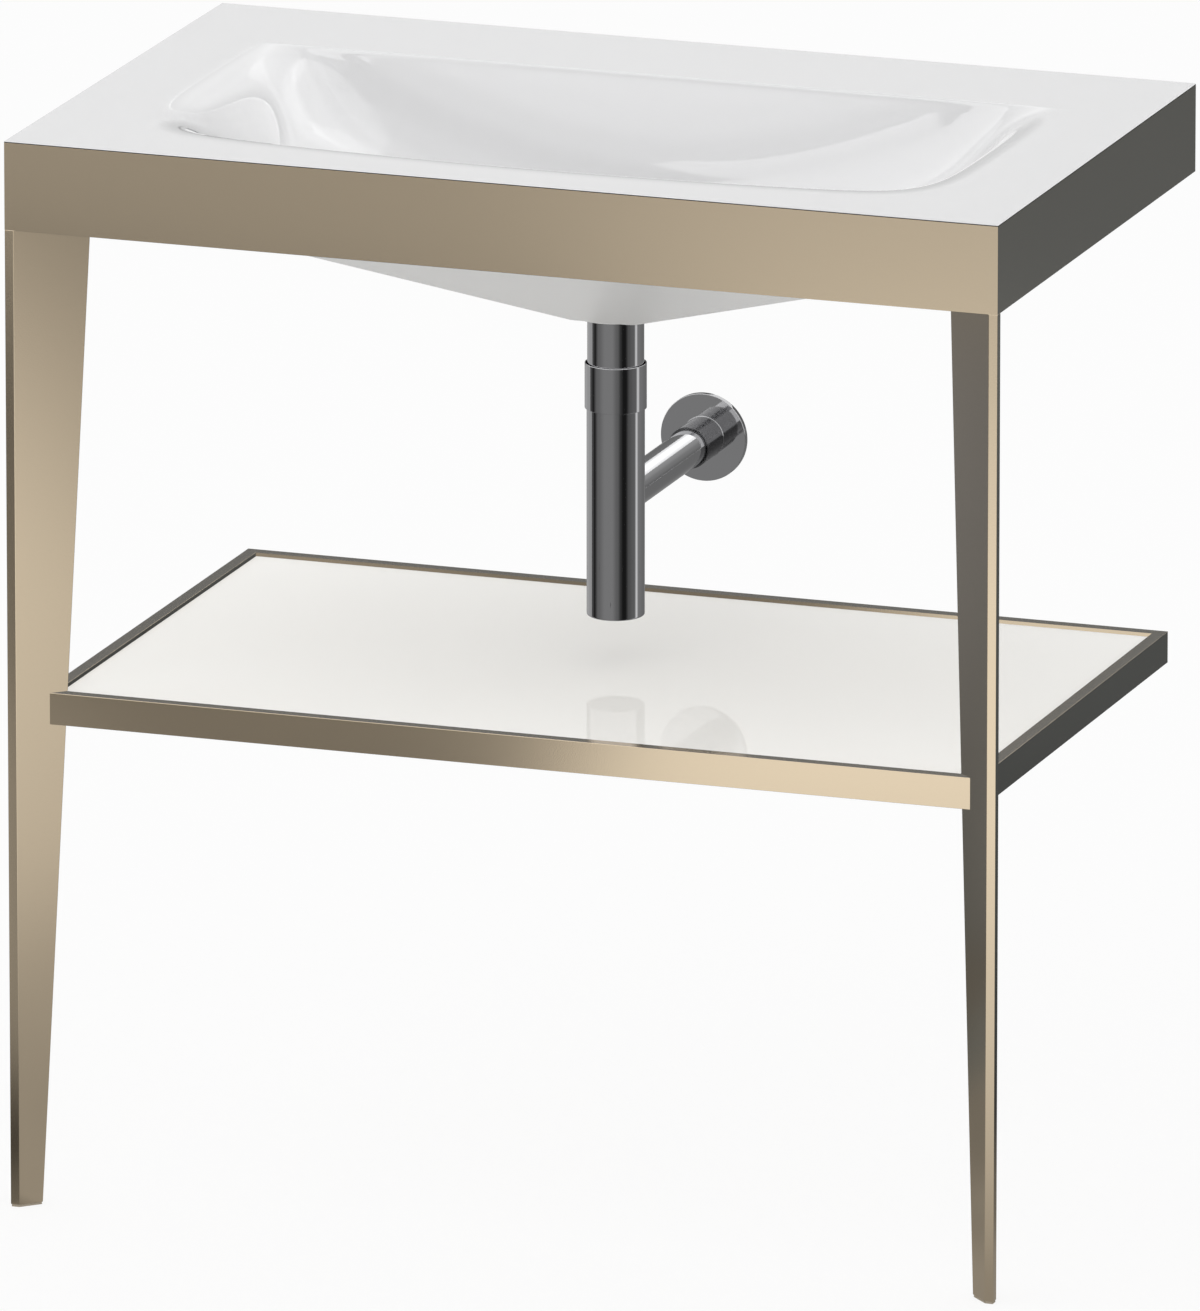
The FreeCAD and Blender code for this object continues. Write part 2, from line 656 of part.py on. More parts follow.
def waste_seal():
    return ring(FLANGE_RADIUS, TAIL_RADIUS + HOLE_GAP, SEAT_Z, SEAT_Z + WASTE_SEAL)


def waste_gasket():
    low = NUT_LOW + NUT_HEIGHT
    return ring(NUT_RADIUS, TAIL_RADIUS + HOLE_GAP, low, low + GASKET_HEIGHT)


def waste_nut():
    nut = ring(NUT_RADIUS, TAIL_RADIUS, NUT_LOW, NUT_LOW + NUT_HEIGHT)
    half = NUT_SLOT / 2
    slot = box(-NUT_RADIUS, NUT_RADIUS, DRAIN_Y - half, DRAIN_Y + half, NUT_LOW, NUT_LOW + NUT_HEIGHT / 2)
    return nut.cut(slot)


# Push-open plug and the cartridge that guides it

def plug_cap():
    top = PLUG_BOTTOM + PLUG_HEIGHT
    cap = rod(FLANGE_RADIUS - PLUG_INSET, PLUG_BOTTOM, top)
    return rounded_rim(cap, PLUG_EDGE, point(0, DRAIN_Y, top))


def plug_seal():
    low = PLUG_BOTTOM - PLUG_SEAL_HEIGHT
    return ring(PLUG_SEAL_BORE + PLUG_SEAL_WIDTH, PLUG_SEAL_BORE, low, PLUG_BOTTOM)


def plug_stem():
    return rod(STEM_DIAMETER / 2, HUB_LOW - STEM_BELOW_HUB, PLUG_BOTTOM)


def plug_cartridge():
    bore = TAIL_BORE / 2
    half = SPOKE_WIDTH / 2
    low = HUB_TOP - SPOKE_HEIGHT
    guide = STEM_DIAMETER / 2 + SLIP
    along = box(-bore, bore, DRAIN_Y - half, DRAIN_Y + half, low, HUB_TOP)
    across = box(-half, half, DRAIN_Y - bore, DRAIN_Y + bore, low, HUB_TOP)
    spokes = along.fuse(across).common(rod(bore, low, HUB_TOP))
    return fused([rod(guide + HUB_WALL, HUB_LOW, HUB_TOP), spokes]).cut(rod(guide, HUB_LOW, HUB_TOP))


# Trap

def upper_sleeve():
    return ring(SLEEVE_RADIUS, TAIL_RADIUS + SLIP, COLLAR_TOP - SLEEVE_IN_COLLAR, NUT_LOW - ASSEMBLY_GAP)


def collar():
    body = rod(COLLAR_RADIUS, COLLAR_LOW, COLLAR_TOP)
    body = rounded_rim(body, COLLAR_EDGE, point(0, DRAIN_Y, COLLAR_LOW))
    body = body.cut(rod(COLLAR_MOUTH, WEB_TOP, COLLAR_TOP))
    body = body.cut(rod(DIP_RADIUS + SLIP, WEB_LOW, WEB_TOP))
    return body.cut(rod(TRAP_RADIUS + SLIP, COLLAR_LOW, WEB_LOW))


def collar_seal():
    return ring(TRAP_RADIUS, DIP_RADIUS, TRAP_TOP, TRAP_TOP + COLLAR_SEAL)


def dip_tube():
    return ring(DIP_RADIUS, DIP_RADIUS - DIP_WALL, DIP_LOW, DIP_TOP)


def dip_tube_seal():
    low = TAIL_LOW + DIP_SEAL_RISE
    return ring(TAIL_BORE / 2, DIP_RADIUS, low, low + DIP_SEAL_HEIGHT)


def trap_bore():
    return rod(TRAP_RADIUS - TRAP_WALL, TRAP_LOW + TRAP_BASE, TRAP_TOP)


def trap_body():
    body = rod(TRAP_RADIUS, TRAP_LOW, TRAP_TOP)
    body = rounded_rim(body, TRAP_EDGE, point(0, DRAIN_Y, TRAP_LOW)).cut(trap_bore())
    return body.cut(rod_to_wall(PIPE_RADIUS, DRAIN_Y, DRAIN_Y + 2 * TRAP_RADIUS))


def wall_pipe():
    # The scribed mark shows how far the pipe goes into the wall.
    pipe = rod_to_wall(PIPE_RADIUS, DRAIN_Y, PIPE_END).cut(trap_bore())
    pipe = pipe.cut(rod_to_wall(PIPE_RADIUS - PIPE_WALL, DRAIN_Y, PIPE_END))
    mark = rod_to_wall(PIPE_RADIUS, WALL_Y - PIPE_MARK, WALL_Y)
    return pipe.cut(mark.cut(rod_to_wall(PIPE_RADIUS - PIPE_MARK_CUT, WALL_Y - PIPE_MARK, WALL_Y)))


# Rosette, a thin pressed disc with a neck that slides on the pipe over a rubber ring

def rosette_ring():
    groove = rod_to_wall(NECK_BORE + RING_DEPTH, RING_Y, RING_Y + RING_WIDTH)
    return groove.cut(rod_to_wall(NECK_BORE, RING_Y, RING_Y + RING_WIDTH))


def rosette():
    radius = ROSETTE_DIAMETER / 2
    face_y = WALL_Y - ROSETTE_HEIGHT
    disc = rod_to_wall(radius, face_y, WALL_Y)
    disc = rounded_rim(disc, ROSETTE_EDGE, point(0, face_y, PIPE_Z))
    disc = disc.cut(rod_to_wall(radius - ROSETTE_SKIN, face_y + ROSETTE_SKIN, WALL_Y))
    neck = rod_to_wall(NECK_BORE + RING_DEPTH + NECK_SKIN, NECK_Y, face_y + ROSETTE_SKIN)
    return fused([disc, neck]).cut(rod_to_wall(NECK_BORE, NECK_Y, WALL_Y)).cut(rosette_ring())


# Write every piece

os.makedirs("parts", exist_ok=True)

for build in (basin, bond_bead, apron_front, apron_back_rail, cleat_screws, leg_screws, head_screws,
              shelf_front_rail, shelf_back_rail, shelf_glass, glass_tabs, glass_pads,
              waste_body, waste_seal, waste_gasket, waste_nut,
              plug_cap, plug_seal, plug_stem, plug_cartridge,
              upper_sleeve, collar, collar_seal, dip_tube, dip_tube_seal, trap_body,
              wall_pipe, rosette, rosette_ring):
    save(build.__name__, build())

save_pair("apron", apron_left())
save_pair("back_cleat", back_cleat())
save_pair("leg", leg())
save_pair("leg_head", leg_head())
save_pair("corner_block", corner_block())
save_pair("foot_glide", foot_glide())
save_pair("shelf_rail", shelf_rail())
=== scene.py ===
import json
import math

import bmesh
import bpy
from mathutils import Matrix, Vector

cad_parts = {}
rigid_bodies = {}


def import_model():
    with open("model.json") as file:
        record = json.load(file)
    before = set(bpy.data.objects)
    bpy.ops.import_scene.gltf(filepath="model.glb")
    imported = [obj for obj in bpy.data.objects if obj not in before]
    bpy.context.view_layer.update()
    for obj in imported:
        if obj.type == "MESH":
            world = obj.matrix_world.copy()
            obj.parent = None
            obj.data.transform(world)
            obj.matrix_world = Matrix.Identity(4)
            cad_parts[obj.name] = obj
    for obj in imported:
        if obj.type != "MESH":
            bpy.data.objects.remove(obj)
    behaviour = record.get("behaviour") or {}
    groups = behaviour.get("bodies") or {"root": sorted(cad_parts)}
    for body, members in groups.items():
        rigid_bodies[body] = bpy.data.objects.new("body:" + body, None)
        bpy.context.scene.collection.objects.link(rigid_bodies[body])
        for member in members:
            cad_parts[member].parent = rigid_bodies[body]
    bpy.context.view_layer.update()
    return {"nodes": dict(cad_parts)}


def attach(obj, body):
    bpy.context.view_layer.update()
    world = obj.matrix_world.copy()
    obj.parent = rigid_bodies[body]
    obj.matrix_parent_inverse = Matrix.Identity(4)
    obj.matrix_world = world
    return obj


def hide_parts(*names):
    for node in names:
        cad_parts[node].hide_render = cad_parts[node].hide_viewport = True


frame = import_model()


# Basin top
# One casting of white ceramic: a flat deck, a bowl with soft rolls and a crisp back edge, and a blunt
# pyramid below with a boss for the drain. Deck and bowl are glazed, and the underside is left bare, in a
# greyer white on the faces that look down that is partly painted shade.

DECK_TOP = 847.0            # sizes are in millimetres until a piece is finished
DECK_HALF = 400.0
DECK_FRONT = -260.0
WALL = 220.0
DECK_ROUND = 0.3
MITRE = 10.0
DRAIN_Y = 10.0
BOWL_HALF = 357.0
BOWL_FRONT = -235.5
BOWL_BACK = 106.0
BOWL_DEPTH = 135.0
FRONT_DRAW_IN = 20.0
FRONT_ROLL = (96.0, 4.0)    # how slowly the rim rolls over, and the power that shapes the roll
END_ROLL = (75.0, 4.5)
BACK_DROP = 32.0
BACK_RIM_ROUND = 1.5
BACK_RIM_FINE = 4.0
KEEL_FALL = 0.295
KEEL_ROUND = 114.0
UNDER_HALF = 358.0
UNDER_FRONT = -222.0
UNDER_BACK = 123.0
UNDER_EDGE = 795.0
UNDER_FLAT = (30.0, -25.0, 50.0, 681.5)
RIDGE_ROUND = 5.0
GLAZE_WHITE = (0.72, 0.72, 0.725)
# The bare underside's white: unglazed, and greyer than the glaze in part as painted shade.
BARE_WHITE_PAINTED_SHADE = (0.62, 0.62, 0.615)
FACES_DOWN = -0.05
UP = (0, 0, 1)


def roll_over(distance, slowness, power):
    distance = max(distance, 0.0)
    return distance ** power / (distance ** power + slowness ** power)


def bowl_form(x, y):
    front = BOWL_FRONT + FRONT_DRAW_IN * (x / BOWL_HALF) ** 2
    inside = BOWL_BACK - y
    if abs(inside) < BACK_RIM_ROUND:
        inside = (inside + BACK_RIM_ROUND) ** 2 / (4 * BACK_RIM_ROUND)
    back = 1.0 - math.exp(-max(inside, 0.0) / BACK_DROP)
    keel = BOWL_DEPTH - KEEL_FALL * (math.hypot(x, KEEL_ROUND) - KEEL_ROUND)
    return keel * roll_over(BOWL_HALF - abs(x), *END_ROLL) * roll_over(y - front, *FRONT_ROLL) * back


def bowl_z(x, y):
    return DECK_TOP - bowl_form(x, y) * BOWL_DEPTH / bowl_form(0.0, DRAIN_Y)


def grid_lines(*stretches):
    # Each stretch is a start, an end and the number of steps between them.
    lines = [stretches[0][0]]
    for start, end, steps in stretches:
        lines += [start + (end - start) * k / steps for k in range(1, steps + 1)]
    return lines


def pull_edges(bm, edges, old, new):
    # Extrudes an open loop from one rectangle to the next, each a half width, front, back and height.
    made = bmesh.ops.extrude_edge_only(bm, edges=edges)["geom"]
    depth = (new[2] - new[1]) / (old[2] - old[1])
    for vert in [g for g in made if isinstance(g, bmesh.types.BMVert)]:
        vert.co.x *= new[0] / old[0]
        vert.co.y = new[1] + (vert.co.y - old[1]) * depth
        vert.co.z = new[3]
    return [g for g in made if isinstance(g, bmesh.types.BMEdge) and g.is_boundary]


def open_edges(bm):
    return [edge for edge in bm.edges if edge.is_boundary]


def turned(profile, centre, axis, steps=128):
    # Spins a line of (radius, height along the axis) points around the axis.
    axis = Vector(axis)
    corners = [Vector((radius, 0, 0)) + axis * height for radius, height in profile]
    bm = bmesh.new()
    verts = [bm.verts.new(Vector(centre) + corner) for corner in corners]
    edges = [bm.edges.new(pair) for pair in zip(verts, verts[1:])]
    if profile[0][0] > 0:
        edges.append(bm.edges.new((verts[-1], verts[0])))
    bmesh.ops.spin(bm, geom=verts + edges, cent=centre, axis=axis, angle=math.tau, steps=steps, use_merge=True)
    bmesh.ops.remove_doubles(bm, verts=bm.verts, dist=0.001)
    bmesh.ops.recalc_face_normals(bm, faces=bm.faces)
    return bm


def turned_on_drain(*profile):
    return turned(profile, (0, DRAIN_Y, 0), UP)


def as_object(name, bm):
    # Closes a bmesh in millimetres into an object in metres.
    bmesh.ops.scale(bm, vec=(0.001, 0.001, 0.001), verts=bm.verts)
    mesh = bpy.data.meshes.new(name)
    bm.to_mesh(mesh)
    bm.free()
    piece = bpy.data.objects.new(name, mesh)
    bpy.context.scene.collection.objects.link(piece)
    return piece


def finish_piece(piece, finish, slot, *nodes, body="console"):
    piece.data.shade_smooth()
    piece.data.set_sharp_from_angle(angle=math.radians(40.0))
    even = piece.modifiers.new("even_shading", "WEIGHTED_NORMAL")
    even.mode = "FACE_AREA"
    even.keep_sharp = True
    piece.data.materials.append(finish)
    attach(piece, body)
    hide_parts(*nodes)
    return piece


def mottle_group():
    # Slow drift of tone and gloss over a surface, with a finer unevenness for its relief.
    group = bpy.data.node_groups.new("surface_mottle", "ShaderNodeTree")
    for name, kind, value in (("Colour", "NodeSocketColor", (0.8, 0.8, 0.8, 1.0)),
                              ("Tone", "NodeSocketFloat", 0.03), ("Scale", "NodeSocketFloat", 30.0),
                              ("Roughness", "NodeSocketFloat", 0.3), ("Gloss Drift", "NodeSocketFloat", 0.03),
                              ("Relief Scale", "NodeSocketFloat", 400.0)):
        group.interface.new_socket(name, in_out="INPUT", socket_type=kind).default_value = value
    for name, kind in (("Colour", "NodeSocketColor"), ("Roughness", "NodeSocketFloat"),
                       ("Height", "NodeSocketFloat")):
        group.interface.new_socket(name, in_out="OUTPUT", socket_type=kind)
    nodes, links = group.nodes, group.links
    given = nodes.new("NodeGroupInput")
    result = nodes.new("NodeGroupOutput")
    place = nodes.new("ShaderNodeTexCoord")
    drift = nodes.new("ShaderNodeTexNoise")
    drift.inputs["Detail"].default_value = 4.0
    relief = nodes.new("ShaderNodeTexNoise")
    relief.inputs["Detail"].default_value = 2.0
    links.new(place.outputs["Object"], drift.inputs["Vector"])
    links.new(place.outputs["Object"], relief.inputs["Vector"])
    links.new(given.outputs["Scale"], drift.inputs["Scale"])
    links.new(given.outputs["Relief Scale"], relief.inputs["Scale"])
    links.new(relief.outputs["Fac"], result.inputs["Height"])

    def swing(middle, amount):
        # The drift, spread evenly around a middle value.
        centred = nodes.new("ShaderNodeMath")
        centred.operation = "SUBTRACT"
        centred.inputs[1].default_value = 0.5
        links.new(drift.outputs["Fac"], centred.inputs[0])
        scaled = nodes.new("ShaderNodeMath")
        scaled.operation = "MULTIPLY_ADD"
        links.new(centred.outputs[0], scaled.inputs[0])
        links.new(amount, scaled.inputs[1])
        if isinstance(middle, float):
            scaled.inputs[2].default_value = middle
        else:
            links.new(middle, scaled.inputs[2])
        return scaled.outputs[0]

    shade = nodes.new("ShaderNodeVectorMath")
    shade.operation = "SCALE"
    links.new(given.outputs["Colour"], shade.inputs[0])
    links.new(swing(1.0, given.outputs["Tone"]), shade.inputs["Scale"])
    links.new(shade.outputs[0], result.inputs["Colour"])
    links.new(swing(given.outputs["Roughness"], given.outputs["Gloss Drift"]), result.inputs["Roughness"])
    return group


surface_mottle = mottle_group()


def surface(name, colour, roughness, metallic=0.0, tone=0.03, scale=30.0, drift=0.03,
            relief=0.02, relief_scale=400.0, **sockets):
    # A finish of one colour with its own mottle, drift of gloss and fine relief.
    finish = bpy.data.materials.new(name)
    finish.use_nodes = True
    nodes, links = finish.node_tree.nodes, finish.node_tree.links
    shader = nodes["Principled BSDF"]
    shader.inputs["Metallic"].default_value = metallic
    for socket, value in sockets.items():
        shader.inputs[socket.replace("_", " ")].default_value = value
    mottle = nodes.new("ShaderNodeGroup")
    mottle.node_tree = surface_mottle
    for socket, value in (("Colour", (*colour, 1.0)), ("Tone", tone), ("Scale", scale), ("Roughness", roughness),
                          ("Gloss Drift", drift), ("Relief Scale", relief_scale)):
        mottle.inputs[socket].default_value = value
    bump = nodes.new("ShaderNodeBump")
    bump.inputs["Strength"].default_value = relief
    bump.inputs["Distance"].default_value = 0.0005
    links.new(mottle.outputs["Colour"], shader.inputs["Base Color"])
    links.new(mottle.outputs["Roughness"], shader.inputs["Roughness"])
    links.new(mottle.outputs["Height"], bump.inputs["Height"])
    links.new(bump.outputs["Normal"], shader.inputs["Normal"])
    return finish


glaze = surface("glaze", GLAZE_WHITE, 0.03, tone=0.012, scale=9.0, drift=0.015, relief=0.005, relief_scale=40.0)

across = grid_lines((DECK_ROUND - DECK_HALF, -BOWL_HALF, 3), (-BOWL_HALF, BOWL_HALF, 276),
                    (BOWL_HALF, DECK_HALF - DECK_ROUND, 3))
along = grid_lines((DECK_FRONT + DECK_ROUND, BOWL_FRONT, 3), (BOWL_FRONT, BOWL_BACK - BACK_RIM_FINE, 126),
                   (BOWL_BACK - BACK_RIM_FINE, BOWL_BACK + BACK_RIM_FINE, 20),
                   (BOWL_BACK + BACK_RIM_FINE, WALL - DECK_ROUND, 4))
bm = bmesh.new()
bmesh.ops.create_grid(bm, x_segments=len(across) - 1, y_segments=len(along) - 1, size=0.5)
for vert in bm.verts:
    x = across[round((vert.co.x + 0.5) * (len(across) - 1))]
    y = along[round((vert.co.y + 0.5) * (len(along) - 1))]
    vert.co = (x, y, bowl_z(x, y))
recess_half, recess_front = DECK_HALF - MITRE, DECK_FRONT + MITRE
deck_under = DECK_TOP - 2 * MITRE
rims = [(DECK_HALF - DECK_ROUND, DECK_FRONT + DECK_ROUND, WALL - DECK_ROUND, DECK_TOP),
        (DECK_HALF, DECK_FRONT, WALL, DECK_TOP - DECK_ROUND),
        (DECK_HALF, DECK_FRONT, WALL, DECK_TOP - 2 * DECK_ROUND),
        (recess_half, recess_front, WALL, DECK_TOP - 2 * DECK_ROUND - MITRE),
        (recess_half - DECK_ROUND, recess_front + DECK_ROUND, WALL, deck_under)]
edges = open_edges(bm)
for old, new in zip(rims, rims[1:]):
    edges = pull_edges(bm, edges, old, new)
steps_down = [(UNDER_HALF, UNDER_FRONT, UNDER_BACK, deck_under), (UNDER_HALF, UNDER_FRONT, UNDER_BACK, UNDER_EDGE),
              UNDER_FLAT]
corners = [bm.verts.new((x, y, deck_under)) for x, y in ((-UNDER_HALF, UNDER_FRONT), (UNDER_HALF, UNDER_FRONT),
                                                         (UNDER_HALF, UNDER_BACK), (-UNDER_HALF, UNDER_BACK))]
edges = [bm.edges.new((corners[k - 1], corners[k])) for k in range(4)]
for old, new in zip(steps_down, steps_down[1:]):
    edges = pull_edges(bm, edges, old, new)
bmesh.ops.edgeloop_fill(bm, edges=edges)
ridges = [edge for vert in corners for edge in vert.link_edges if edge.verts[0].co.z != edge.verts[1].co.z]
ridges += [edge for ridge in list(ridges) for vert in ridge.verts if vert not in corners
           for edge in vert.link_edges if min(end.co.z for end in edge.verts) < UNDER_EDGE]
bmesh.ops.bevel(bm, geom=ridges, offset=RIDGE_ROUND, segments=4, profile=0.5, affect="EDGES", material=-1)
bmesh.ops.triangle_fill(bm, edges=open_edges(bm), use_beauty=True)
bmesh.ops.recalc_face_normals(bm, faces=bm.faces)
basin = as_object("basin_top", bm)
boss = as_object("drain_boss", turned_on_drain((0, 680.6), (34.95, 680.6), (39.8, 697), (0, 697)))
drain = as_object("drain_cut", turned_on_drain((0, 660), (29.95, 660), (29.95, 689), (22.5, 689), (22.5, 711),
                                               (33, 711), (33, 740), (0, 740)))
for tool, operation in ((boss, "UNION"), (drain, "DIFFERENCE")):
    cut = basin.modifiers.new(tool.name, "BOOLEAN")
    cut.operation = operation
    cut.object = tool
    cut.solver = "EXACT"
casting = bpy.data.meshes.new_from_object(basin.evaluated_get(bpy.context.evaluated_depsgraph_get()))
basin.modifiers.clear()
basin.data = casting
for tool in (boss, drain):
    bpy.data.objects.remove(tool)
finish_piece(basin, glaze, "glaze", "basin")
bisque_painted_shade = surface("bisque_painted_shade", BARE_WHITE_PAINTED_SHADE, 0.42, tone=0.015, scale=12.0, drift=0.05, relief=0.03, relief_scale=250.0)
basin.data.materials.append(bisque_painted_shade)
# Faces that look down take the bare finish, whose darker white is partly painted shade.
for face in basin.data.polygons:
    face.material_index = 1 if face.normal.z < FACES_DOWN else 0
basin.visible_glossy = False


# Waste in the bowl
# A turned brass waste with a wide flange, chromed all over. It is drawn down on a seal in the bowl's
# floor by a plastic nut in the recess below, and its tail goes on down into the trap.

CHROME = (0.56, 0.56, 0.57)
chrome = surface("chrome", CHROME, 0.05, metallic=1.0, tone=0.02, scale=14.0, drift=0.02,
                 relief=0.004, relief_scale=90.0)


def round_edges(bm, size, segments=3, where=lambda edge: True):
    sharp = [edge for edge in bm.edges
             if edge.is_manifold and edge.calc_face_angle() > math.radians(30) and where(edge)]
    bmesh.ops.bevel(bm, geom=sharp, offset=size, segments=segments, profile=0.5, affect="EDGES", material=-1,
                    clamp_overlap=True)


def dress(finish, *names):
    # Gives CAD nodes that stay in view their finish.
    for name in names:
        shape = frame["nodes"][name]
        shape.data.materials.clear()
        shape.data.materials.append(finish)


bm = turned_on_drain((18, 652), (20.95, 652), (20.95, 712.5), (31.5, 712.5), (31.5, 715), (18, 715))
round_edges(bm, 0.7)
finish_piece(as_object("waste", bm), chrome, "chrome", "waste_body")
rubber = surface("black_rubber", (0.02, 0.02, 0.021), 0.6, tone=0.2, scale=120.0, relief=0.1)
moulded = surface("moulded_plastic", (0.16, 0.16, 0.165), 0.45, tone=0.1, scale=60.0, relief=0.1)
dress(rubber, "waste_seal", "waste_gasket")
dress(moulded, "waste_nut", "plug_cartridge")


# Push-open plug
# A pressed and chromed brass cap on a stem, pushed down to shut and pushed again to open. It stands
# open here, on a cartridge inside the waste, and carries a rubber seal under its rim.

PLUG_FOOT = 727.3
PLUG_TOP = 732.3
plug_middle = (PLUG_FOOT + PLUG_TOP) / 2
bm = turned_on_drain((0, PLUG_FOOT), (31, PLUG_FOOT), (31, PLUG_TOP), (0, PLUG_TOP))
round_edges(bm, 2.0, 5, lambda edge: edge.verts[0].co.z > plug_middle)
round_edges(bm, 0.3, 3, lambda edge: edge.verts[0].co.z < plug_middle)
finish_piece(as_object("plug", bm), chrome, "chrome", "plug_cap", body="plug")
dress(chrome, "plug_stem")
dress(rubber, "plug_seal")


# Apron
# Three bars of flat steel, mitred at the front corners and welded, then lacquered in satin champagne.
# Their upper edges are mitred too, and the ceramic is bonded into them with a thin dark bead.

APRON_FOOT = 777.0
APRON_TOP = 845.8
CHAMPAGNE = (0.76, 0.63, 0.455)
EDGE_BREAK = 0.3
champagne = surface("champagne_lacquer", CHAMPAGNE, 0.14, metallic=1.0, tone=0.03, scale=8.0, drift=0.03,
                    relief=0.03, relief_scale=900.0)


def block(low, high):
    # A solid between a lower and an upper outline that have the same number of corners.
    bm = bmesh.new()
    base = bm.faces.new([bm.verts.new(corner) for corner in low])
    made = bmesh.ops.extrude_face_region(bm, geom=[base])["geom"]
    for vert in [g for g in made if isinstance(g, bmesh.types.BMVert)]:
        vert.co = min(zip(low, high), key=lambda pair: (Vector(pair[0]) - vert.co).length)[1]
    bmesh.ops.recalc_face_normals(bm, faces=bm.faces)
    return bm


def upright(outline, low, high):
    return block([(x, y, low) for x, y in outline], [(x, y, high) for x, y in outline])


def mirrored_places(places):
    return [(-place[0], *place[1:]) for place in places]


def runs_level(edge):
    return abs(edge.verts[0].co.z - edge.verts[1].co.z) < 1


def apron_bar(outer, inner):
    low = [(x, y, APRON_FOOT) for x, y in outer + inner]
    high = [(x, y, APRON_TOP) for x, y in outer] + [(x, y, APRON_TOP - MITRE) for x, y in inner]
    bm = block(low, high)
    round_edges(bm, EDGE_BREAK, 3, runs_level)
    return bm


front_bar = ([(-DECK_HALF, DECK_FRONT), (DECK_HALF, DECK_FRONT)],
             [(recess_half, recess_front), (-recess_half, recess_front)])
left_bar = ([(-DECK_HALF, WALL), (-DECK_HALF, DECK_FRONT)], [(-recess_half, recess_front), (-recess_half, WALL)])
right_bar = [mirrored_places(places) for places in left_bar]
for name, bar, node in (("front_apron", front_bar, "apron_front"), ("left_apron", left_bar, "apron_left"),
                        ("right_apron", right_bar, "apron_right")):
    finish_piece(as_object(name, apron_bar(*bar)), champagne, "champagne_metal", node)
bead = surface("adhesive_bead", (0.035, 0.032, 0.028), 0.55, tone=0.15, scale=80.0, relief=0.05)
dress(bead, "bond_bead")


# Wall rail and corner hardware
# A back rail takes the wall bolts, and steel cleats screwed into the corners hold it to the side bars.
# Blocks and leg heads in the front corners are of the lacquered metal, with plain zinc screws.

zinc = surface("bright_zinc", (0.55, 0.56, 0.58), 0.38, metallic=1.0, tone=0.12, scale=90.0, drift=0.12,
               relief=0.05)
dress(champagne, "apron_back_rail", "leg_head_left", "leg_head_right", "corner_block_left", "corner_block_right")
dress(zinc, "back_cleat_left", "back_cleat_right", "cleat_screws", "leg_screws", "head_screws")


# Legs
# Two tapered plates of the same metal, set on the diagonals, with outer ends ground to the corner's faces.
# They are screwed to the leg heads and stand on thin plastic glides in the colour of the lacquer.

LEG_FACET = 7.071
LEG_HEAD_REACH = 70.0
LEG_FOOT_REACH = 25.0
GLIDE_THICK = 2.0


def leg_outline(reach):
    # The left leg's section, from the outer corner inwards along the diagonal.
    along = reach / math.sqrt(2)
    side = LEG_FACET / 2
    section = [(0, 0), (LEG_FACET, 0), (along + side, along - side), (along - side, along + side), (0, LEG_FACET)]
    return [(x - DECK_HALF, y + DECK_FRONT) for x, y in section]


for side, name in ((1, "left"), (-1, "right")):
    low = [(side * x, y, GLIDE_THICK) for x, y in leg_outline(LEG_FOOT_REACH)]
    high = [(side * x, y, APRON_FOOT) for x, y in leg_outline(LEG_HEAD_REACH)]
    bm = block(low, high)
    round_edges(bm, EDGE_BREAK)
    finish_piece(as_object("%s_leg" % name, bm), champagne, "champagne_metal", "leg_%s" % name)
glide = surface("glide_plastic", (0.42, 0.36, 0.28), 0.5, tone=0.1, scale=60.0, relief=0.1)
dress(glide, "foot_glide_left", "foot_glide_right")


# Shelf frame
# Flat bars on edge, mitred at the back and welded to the legs at the front, in the same lacquer.
# Small welded tabs inside carry the glass on rubber pads.

RAIL_FOOT = 383.0
RAIL_TOP = 408.0
front_rail = [(-372.929, -240.0), (372.929, -240.0), (362.929, -230.0), (-362.929, -230.0)]
left_rail = [(-380.0, -232.929), (-370.0, -222.929), (-370.0, 210.0), (-380.0, 220.0)]
for name, outline, node in (("shelf_front_bar", front_rail, "shelf_front_rail"),
                            ("shelf_left_bar", left_rail, "shelf_rail_left"),
                            ("shelf_right_bar", mirrored_places(left_rail), "shelf_rail_right")):
    bm = upright(outline, RAIL_FOOT, RAIL_TOP)
    round_edges(bm, EDGE_BREAK, 3, runs_level)
    finish_piece(as_object(name, bm), champagne, "champagne_metal", node)
dress(champagne, "shelf_back_rail", "glass_tabs")
dress(rubber, "glass_pads")


# Glass shelf
# A sheet of float glass, lacquered white on its underside, with polished edges and its two front
# corners cut off square to the legs. It lies loose in the frame on the pads.

GLASS_FOOT = 398.5
GLASS_TOP = 405.4
GLASS_WHITE = (0.96, 0.95, 0.92)
white_glass = surface("white_backed_glass", GLASS_WHITE, 0.03, tone=0.008, scale=6.0, drift=0.01, relief=0.003,
                      relief_scale=30.0, Specular_IOR_Level=0.05)
glass_right = [(361.14, -229.6), (369.6, -221.14), (369.6, 209.6)]
bm = upright(glass_right + mirrored_places(glass_right)[::-1], GLASS_FOOT, GLASS_TOP)
round_edges(bm, 0.6)
glass = finish_piece(as_object("glass_shelf", bm), white_glass, "white_glass", "shelf_glass")
glass.visible_glossy = False


# Trap
# Chromed brass tube: a sleeve over the waste's tail, a smooth collar that is screwed down by hand on
# a seal, and the bottle below with its rounded end. A plastic dip tube hangs inside it.

